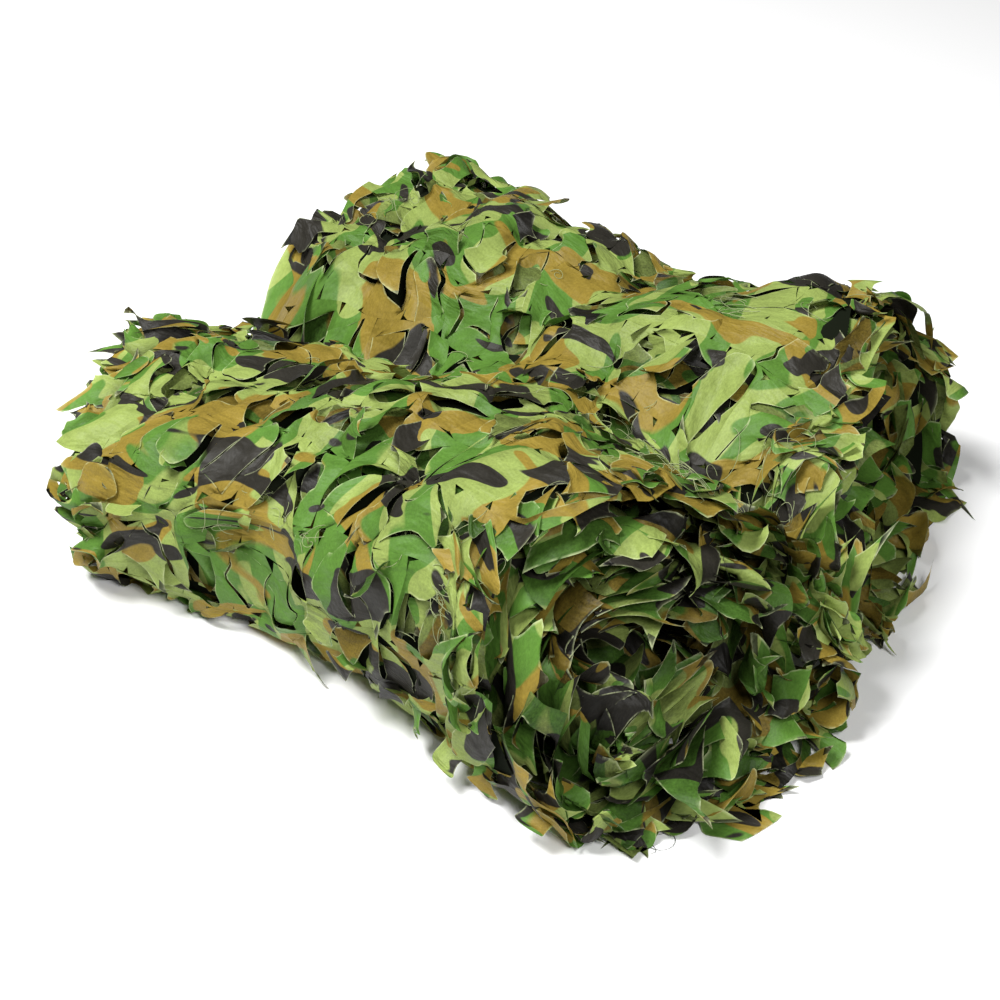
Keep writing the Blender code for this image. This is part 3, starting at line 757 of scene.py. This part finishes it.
def add_hollow_leaves(patch, seed):
    """Leaves of the innermost turn hanging into the hollow of the front roll's mouth."""
    draw = np.random.RandomState(seed)
    layer = make_layer(draw, HOLLOW_SINK, HOLLOW_PAINTED_SHADE, HOLLOW_ROOT_SHADE)
    for _ in range(HOLLOW_COUNT):
        t = draw.uniform(HOLLOW_LOW, T_HOLLOW_END)
        x = min(draw.uniform(HOLLOW_START, HOLLOW_END), SCROLL.ends_at(t)[1])
        heading = draw.uniform(0.0, 2.0 * math.pi)
        height = -draw.uniform(0.0, HOLLOW_DEPTH)
        leaf = draw_leaf(draw, x, t, height, HOLLOW_HALF, HOLLOW_LENGTH, heading, 1.0, side=-1.0)
        leaf.lift = math.radians(draw.uniform(0.0, HOLLOW_LIFT))
        leaf.follow = 0.0
        leaf.limit = HOLLOW_LIMIT
        add_tongue(patch, leaf, layer)


END_HALF, END_SINK = 0.0135, 0.03
# Painted shade darkens each end leaf towards its root, and painted light brightens the whole leaf, so that
# its tip looks lit.
END_ROOT_SHADE = 3.8
END_PAINTED_LIGHT = 0.95
END_SPREAD, END_HEIGHT_SPREAD = 38.0, 0.002
END_LIFT, END_CURL = (5.0, 30.0), (10.0, 70.0)
# Neighbouring leaves of an end belong to different turns, so each shows another part of the print.
END_PRINT_SEED = 100
END_PRINT_REACH = 0.25


def add_end_leaves(patch, seed, t_low, t_high, end, spacing, height, reach, long=0.033, limit=0.009,
                   least=0.016):
    """Leaves hanging out of the cut ends of the wound cloth, over the end faces of the rolls.

    Their roots lie between least and reach from the end, and spacing apart around the section.
    """
    draw = np.random.RandomState(seed)
    prints = np.random.RandomState(seed + END_PRINT_SEED)
    layer = make_layer(draw, END_SINK, END_PAINTED_LIGHT, END_ROOT_SHADE)
    outward = -0.5 * math.pi if end == RIGHT else 0.5 * math.pi
    for index in range(int((t_high - t_low) / spacing)):
        t = t_low + (index + draw.uniform()) * spacing
        x = SCROLL.ends_at(t)[end] - math.copysign(draw.uniform(least, reach), -outward)
        heading = outward + math.radians(draw.normal(0.0, END_SPREAD))
        at_height = height + draw.normal(0.0, END_HEIGHT_SPREAD)
        leaf = draw_leaf(draw, x, t, at_height, END_HALF, long, heading, 1.0)
        leaf.lift = math.radians(draw.normal(*END_LIFT))
        leaf.curl = math.radians(draw.normal(*END_CURL))
        leaf.follow = 0.0
        leaf.limit = limit
        leaf.print = prints.uniform(-END_PRINT_REACH, END_PRINT_REACH, 2)
        add_tongue(patch, leaf, layer)


# ---------- cloth material
LIGHT_GREEN = (0.252, 0.324, 0.082, 1.0)
MID_GREEN = (0.084, 0.188, 0.028, 1.0)
TAN = (0.248, 0.178, 0.029, 1.0)
BLACK_BROWN = (0.024, 0.022, 0.017, 1.0)
# Near black: painted shade for the core; the turns there are the same printed cloth.
CORE_PAINTED_SHADE_COLOR = (0.006, 0.008, 0.004, 1.0)
EDGE_COLOR = (0.62, 0.68, 0.38, 1.0)
YARN_COLOR = (0.30, 0.34, 0.17, 1.0)
ROUGHNESS = 0.48
SPECULAR = 0.18
TRANSLUCENT_SHARE = 0.14
BLOB_ROUGHNESS = 0.42
# Colour, then its field's scale, start, stretch, turn, detail and distortion, then the level and the
# softness of the blobs' edge. Each colour lies over the one before.
PRINT = (
    (MID_GREEN, 24.0, (3.1, 1.7, 0.0), (1.0, 0.70), 0.5, 1.2, 0.5, 0.498, 0.005),
    (TAN, 25.0, (17.3, 8.9, 0.0), (0.74, 1.1), 0.9, 1.2, 0.5, 0.564, 0.008),
    (BLACK_BROWN, 32.0, (41.2, 23.4, 0.0), (0.60, 1.15), 0.35, 1.0, 0.45, 0.613, 0.006),
)
# Scale, detail and roughness of the weave, the wear and the fraying of the cut edges.
GRAIN = (750.0, 2.0, 0.7)
WEAR = (85.0, 3.0, 0.6)
FRAY = (130.0, 3.0, 0.7)
FRAY_LEVEL, FRAY_SOFTNESS, FRAY_SHARE = 0.48, 0.12, 0.60
# Brightness: how far tone with its painted shade and light, weave and wear move it, where it starts and
# the darkest it gets.
TONE_PART, GRAIN_PART, WEAR_PART, SHADE_START, SHADE_LEAST = 0.20, 0.56, 0.50, 0.38, 0.10
FOLD_SCALE, FOLD_TURN, FOLD_NOISE = (30.0, 64.0), 0.6, (1.0, 3.0, 0.5, 0.25)
GRAIN_STRENGTH, GRAIN_DEPTH = 0.35, 0.0005
FOLD_STRENGTH, FOLD_DEPTH = 0.75, 0.0060


class Nodes:
    """Short calls for building a material."""

    def __init__(self, name):
        self.material = bpy.data.materials.new(name)
        self.material.use_nodes = True
        self.tree = self.material.node_tree
        self.tree.nodes.clear()

    def add(self, kind, inputs=(), **settings):
        """A node with its settings, and its inputs linked or set."""
        node = self.tree.nodes.new("ShaderNode" + kind)
        for key, value in settings.items():
            setattr(node, key, value)
        for key, value in dict(inputs).items():
            if isinstance(value, bpy.types.NodeSocket):
                self.tree.links.new(value, node.inputs[key])
            else:
                node.inputs[key].default_value = value
        return node

    def attribute(self, name, output):
        return self.add("Attribute", attribute_name=name).outputs[output]

    def mix(self, share, first, second):
        return self.add("Mix", {0: share, 6: first, 7: second}, data_type="RGBA").outputs[2]

    def math(self, operation, first, second):
        return self.add("Math", {0: first, 1: second}, operation=operation).outputs[0]

    def step(self, value, level, soft):
        """0 below a level, 1 above it."""
        inputs = {"Value": value, "From Min": level - soft, "From Max": level + soft}
        return self.add("MapRange", inputs, clamp=True).outputs["Result"]

    def mapped(self, place, scale, turn, start=(0.0, 0.0, 0.0)):
        """A place stretched and turned, as a start for a noise."""
        inputs = {"Vector": place, "Location": start, "Rotation": (0.0, 0.0, turn), "Scale": (*scale, 1.0)}
        return self.add("Mapping", inputs).outputs[0]

    def noise(self, place, scale, detail, roughness, distortion=0.0):
        """Noise over the flat cloth."""
        inputs = {
            "Vector": place, "Scale": scale, "Detail": detail, "Roughness": roughness,
            "Distortion": distortion}
        return self.add("TexNoise", inputs, noise_dimensions="2D").outputs["Fac"]

    def finish(self, surface):
        """Links the surface to the material's output."""
        self.add("OutputMaterial", {"Surface": surface})
        return self.material


def print_color(nodes, place):
    """The four colours of the print: each field's level lines are the edges of one colour's blobs."""
    color = LIGHT_GREEN
    for over, scale, start, stretch, turn, detail, distortion, level, soft in PRINT:
        mapped = nodes.mapped(place, (scale * stretch[0], scale * stretch[1]), turn, start)
        field = nodes.noise(mapped, 1.0, detail, BLOB_ROUGHNESS, distortion)
        color = nodes.mix(nodes.step(field, level, soft), color, over)
    return color


def cloth_material():
    """Four-colour woodland print on satin polyester with pale frayed cut edges."""
    nodes = Nodes("camo_cloth")
    place = nodes.attribute("cloth", "Vector")
    edge = nodes.attribute("edge", "Fac")
    # Tone: random from leaf to leaf, plus painted shade on deep layers, in the hollow and towards leaf
    # roots, and painted light on the end leaves.
    tone = nodes.attribute("tone", "Fac")
    grain = nodes.noise(place, *GRAIN)
    shade = nodes.math("MULTIPLY", tone, TONE_PART)
    for field, part in ((grain, GRAIN_PART), (nodes.noise(place, *WEAR), WEAR_PART)):
        shade = nodes.math("ADD", shade, nodes.math("MULTIPLY", field, part))
    shade = nodes.math("MAXIMUM", nodes.math("ADD", shade, SHADE_START), SHADE_LEAST)
    shaded = nodes.add("HueSaturation", {"Color": print_color(nodes, place), "Value": shade})
    fray = nodes.step(nodes.noise(place, *FRAY), FRAY_LEVEL, FRAY_SOFTNESS)
    frayed = nodes.math("MULTIPLY", nodes.math("SUBTRACT", 1.0, edge), fray)
    color = nodes.mix(nodes.math("MULTIPLY", frayed, FRAY_SHARE), shaded.outputs[0], EDGE_COLOR)
    weave = nodes.add("Bump", {"Height": grain, "Strength": GRAIN_STRENGTH, "Distance": GRAIN_DEPTH})
    folds = nodes.noise(nodes.mapped(place, FOLD_SCALE, FOLD_TURN), *FOLD_NOISE)
    relief = nodes.add("Bump", {
        "Height": folds, "Strength": FOLD_STRENGTH, "Distance": FOLD_DEPTH, "Normal": weave.outputs[0]})
    surface = nodes.add("BsdfPrincipled", {
        "Base Color": color, "Roughness": ROUGHNESS, "Normal": relief.outputs[0],
        "Specular IOR Level": SPECULAR})
    through = nodes.add("BsdfTranslucent", {"Color": color, "Normal": relief.outputs[0]})
    mixed = nodes.add(
        "MixShader", {0: TRANSLUCENT_SHARE, 1: surface.outputs[0], 2: through.outputs[0]})
    return nodes.finish(mixed.outputs[0])


def plain_material(name, color, roughness, specular=0.5):
    """A smooth surface of one colour."""
    nodes = Nodes(name)
    surface = nodes.add("BsdfPrincipled", {
        "Base Color": color, "Roughness": roughness, "Specular IOR Level": specular})
    return nodes.finish(surface.outputs[0])


# ---------- pieces
CLOTH = cloth_material()
YARN = plain_material("yarn", YARN_COLOR, 0.6, 0.2)
CORE_PAINTED_SHADE_CLOTH = plain_material("camo_cloth_painted_shade", CORE_PAINTED_SHADE_COLOR, 0.9, 0.05)
CORE_STEP = 0.008
CORE_COLUMNS = 60
CORE_DEPTH, CORE_SETBACK = 0.0095, 0.018
MIDDLE_TONE = 0.5


def build_core(t_low, t_high):
    """The tightly wound turns under the leaves: a smooth sheet, short of both ends, coloured near black as
    painted shade.
    """
    patch = Patch()
    t = np.linspace(t_low, t_high, int((t_high - t_low) / CORE_STEP) + 1)
    left, right = SCROLL.ends_at(t)
    share = np.linspace(0.0, 1.0, CORE_COLUMNS)[None, :]
    x = (left + CORE_SETBACK)[:, None] * (1.0 - share) + (right - CORE_SETBACK)[:, None] * share
    t = np.broadcast_to(t[:, None], x.shape)
    points = to_world(x, t, np.full_like(x, -CORE_DEPTH), 0.0)
    patch.add_grid(points, np.stack([x, t], axis=-1), 1.0, MIDDLE_TONE)
    finish_piece(patch, "cloth_core", CORE_PAINTED_SHADE_CLOTH)


def join_net(patch, name, material):
    """Builds a piece in the place of the plain net."""
    piece = patch.build(name, material)
    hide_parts(NODE)
    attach(piece, BODY)
    return piece


def finish_piece(patch, name, material=CLOTH):
    """Builds a piece of the one cloth that is folded into the bundle.

    The cut area, that of the flat pattern before it is bent, is worked out but not used.
    """
    cut_area = patch.flat_area()
    piece = join_net(patch, name, material)


THREAD_SEED, THREAD_RADIUS, THREAD_SIDES, THREAD_STEPS = 61, 0.00022, 3, 34
THREAD_TURNS, THREAD_OVAL = (0.3, 1.8), (0.4, 1.0)
THREAD_LOOP, THREAD_LENGTH = (0.004, 0.012), (0.006, 0.034)
THREAD_RISE, THREAD_SINK = 0.006, 0.004
THREAD_SPREAD_AROUND = 0.03
THREAD_INSIDE = 0.030
# A slanting direction to turn each yarn's sides from, and a length that keeps a division safe.
SLANTING, TINY = np.array([0.31, 0.52, 0.79]), 1e-9
# Places of loose yarn: x, place around the section, spread, count and height over the cloth.
THREAD_PLACES = (
    (0.150, T_FRONT_TOP + 0.075, 0.018, 16, 0.006),
    (0.175, T_FRONT_TOP + 0.110, 0.022, 16, 0.008),
    (0.190, T_FRONT_FLOOR - 0.060, 0.016, 14, 0.006),
    (0.150, T_BACK_TOP + 0.060, 0.012, 3, 0.004),
    (-0.270, T_BACK_TOP, 0.012, 5, 0.003),
    (0.0, T_VALLEY, 0.120, 60, -0.002),
    (0.0, T_FRONT_TOP - 0.08, 0.120, 50, -0.003),
    (0.0, T_BACK_TOP, 0.110, 40, -0.003),
)


def thread_line(draw, x, t, height):
    """A loose yarn: a slack line with a loop or two, as flat places with heights."""
    share = np.linspace(0.0, 1.0, THREAD_STEPS)
    turns = draw.uniform(*THREAD_TURNS)
    size = draw.uniform(*THREAD_LOOP)
    start, heading = draw.uniform(0.0, 2.0 * math.pi, 2)
    length = draw.uniform(*THREAD_LENGTH)
    angle = start + turns * 2.0 * math.pi * share
    fade = np.sin(math.pi * share) ** 0.5
    u = x + length * share * math.cos(heading) + size * fade * np.cos(angle)
    v = t + length * share * math.sin(heading) + size * fade * np.sin(angle) * draw.uniform(*THREAD_OVAL)
    rise = height + THREAD_RISE * fade * draw.uniform(0.1, 1.0) - THREAD_SINK * (1.0 - fade)
    return u, v, rise


def build_threads():
    """Yarns frayed out of the cut edges, as thin three-sided tubes."""
    patch = Patch()
    draw = np.random.RandomState(THREAD_SEED)
    turn = 2.0 * math.pi * np.arange(THREAD_SIDES) / THREAD_SIDES
    for place_x, place_t, spread, count, height in THREAD_PLACES:
        for _ in range(count):
            t = place_t + draw.normal(0.0, min(spread, THREAD_SPREAD_AROUND))
            left, right = SCROLL.ends_at(t)
            x = min(max(place_x + draw.normal(0.0, spread), left + THREAD_INSIDE), right - THREAD_INSIDE)
            u, v, rise = thread_line(draw, x, t, height)
            line = to_world(u, v, rise + cloth_height(u, v, 0.0), 0.0)
            along = np.gradient(line, axis=0)
            along /= np.linalg.norm(along, axis=1, keepdims=True) + TINY
            side = np.cross(along, SLANTING)
            side /= np.linalg.norm(side, axis=1, keepdims=True) + TINY
            over = np.cross(side, along)
            ring = side[:, None] * np.cos(turn)[:, None] + over[:, None] * np.sin(turn)[:, None]
            points = line[:, None] + THREAD_RADIUS * ring
            flat = np.zeros(points.shape[:2] + (2,))
            patch.add_grid(points, flat, 1.0, MIDDLE_TONE, closed=True)
    join_net(patch, "yarns", YARN)


# How far the innermost turns stop short of the cloth's ends.
INNER_END = 0.02


def build_cloth():
    """The core, the outer turn's layers, the turns wound inside and the leaves at the ends."""
    low, high = T_FRONT_FLOOR, T_BACK_FLOOR
    build_core(low, high)
    # The outer turn: two cut layers with a few leaves of a third pushed out between them.
    # The under layer is painted darker: painted shade of the cloth lying under the top layer.
    build_layer(
        "cloth_under", 21, low, high, height=-0.006, keep=0.85, wild_least=0.3, sink=0.003, tone=-2.6)
    build_layer(
        "cloth_between", 22, low, high, height=-0.003, wide=0.028, tall=0.036, framed=False, keep=0.26,
        wild_least=0.35)
    build_layer("cloth_top", 23, low, high, height=0.001)
    # The turns wound inside, seen at the ends.
    # Both are painted darker: painted shade of the turns wound deep inside.
    build_layer(
        "cloth_front_inner", 31, INNER_END, low, height=-0.002, side=-1.0, wild_least=0.7, sink=0.03,
        tone=-2.6)
    build_layer(
        "cloth_back_inner", 32, high, T_END - INNER_END, height=0.0, wide=0.036, tall=0.046,
        wild_least=0.6, tone=-2.4)
    # The ends: seed, from and to around the section, end, spacing, height and the furthest root.
    ends = Patch()
    add_end_leaves(ends, 41, INNER_END, T_VALLEY, RIGHT, 0.0092, -0.004, 0.036)
    add_end_leaves(ends, 42, T_VALLEY, T_END, RIGHT, 0.0092, -0.004, 0.040)
    add_end_leaves(ends, 43, INNER_END, T_END, LEFT, 0.0090, -0.004, 0.035)
    add_hollow_leaves(ends, 45)
    # Closer rows: over the front roll's left end, inside its mouth and at the valley's right end.
    low, high = T_FRONT_TOP - 0.04, T_FRONT_TOP + 0.10
    add_end_leaves(ends, 46, low, high, LEFT, 0.003, -0.003, 0.016, long=0.028, limit=0.005, least=0.002)
    low, high = SCROLL.t_of(FRONT, 385.0), SCROLL.t_of(FRONT, 325.0)
    add_end_leaves(ends, 47, low, high, RIGHT, 0.003, 0.016, 0.030, long=0.034, limit=0.026, least=0.010)
    add_end_leaves(ends, 52, T_VALLEY - 0.055, T_VALLEY + 0.055, RIGHT, 0.004, 0.002, 0.030)
    finish_piece(ends, "end_leaves")


build_cloth()
build_threads()

# ---------- room, light and camera
FLOOR_HALF = 6.0
FLOOR_COLOR = (0.96, 0.96, 0.96, 1.0)
floor_mesh = bpy.data.meshes.new("floor")
corners = [(x * FLOOR_HALF, y * FLOOR_HALF, 0.0) for x, y in ((-1, -1), (1, -1), (1, 1), (-1, 1))]
floor_mesh.from_pydata(corners, [], [(0, 1, 2, 3)])
floor_mesh.materials.append(plain_material("floor", FLOOR_COLOR, 0.7))
floor = add_object("floor", floor_mesh)

CAMERA_AZIMUTH = math.radians(40.0)
CAMERA_ELEVATION = math.radians(40.0)
CAMERA_DISTANCE = 1.30
METRES_PER_PIXEL = 0.00065
IMAGE_SIZE = 1000.0
AIM_PIXEL = (515.0, 530.0)
AIM = np.array([0.0, 0.0, 0.056]) - ORIGIN
SENSOR = 36.0


def add_camera():
    """The camera, aimed so that AIM falls on AIM_PIXEL."""
    toward = np.array([
        math.sin(CAMERA_AZIMUTH) * math.cos(CAMERA_ELEVATION),
        -math.cos(CAMERA_AZIMUTH) * math.cos(CAMERA_ELEVATION),
        math.sin(CAMERA_ELEVATION)])
    data = bpy.data.cameras.new("camera")
    data.sensor_width = SENSOR
    data.lens = SENSOR * CAMERA_DISTANCE / METRES_PER_PIXEL / IMAGE_SIZE
    data.shift_x = -(AIM_PIXEL[0] / IMAGE_SIZE - 0.5)
    data.shift_y = AIM_PIXEL[1] / IMAGE_SIZE - 0.5
    data.clip_end = 50.0
    camera = add_object("camera", data)
    camera.location = AIM + toward * CAMERA_DISTANCE
    camera.rotation_euler = (0.5 * math.pi - CAMERA_ELEVATION, 0.0, CAMERA_AZIMUTH)
    bpy.context.scene.camera = camera


LIGHT_AIM = np.array([0.0, 0.0, 0.1])
# Name, place, size and power.
LIGHTS = (
    ("key", (-0.55, -0.62, 1.90), 0.80, 63.0),
    ("side", (1.1, -0.7, 1.45), 0.5, 19.0),
)
WORLD_STRENGTH = 0.075


def add_area_light(name, place, size, power):
    """A square lamp that points at LIGHT_AIM."""
    data = bpy.data.lights.new(name, "AREA")
    data.shape = "SQUARE"
    data.size = size
    data.energy = power
    light = add_object(name, data)
    light.location = place
    way = LIGHT_AIM - place
    flat = math.hypot(way[0], way[1])
    light.rotation_euler = (math.atan2(flat, -way[2]), 0.0, math.atan2(way[1], way[0]) - 0.5 * math.pi)


def add_light():
    """The lamps in a dim white room."""
    world = bpy.data.worlds.new("studio")
    world.use_nodes = True
    background = world.node_tree.nodes["Background"]
    background.inputs["Color"].default_value = (1.0, 1.0, 1.0, 1.0)
    background.inputs["Strength"].default_value = WORLD_STRENGTH
    bpy.context.scene.world = world
    for light in LIGHTS:
        add_area_light(*light)
    bpy.context.scene.view_settings.view_transform = "Standard"


add_camera()
add_light()
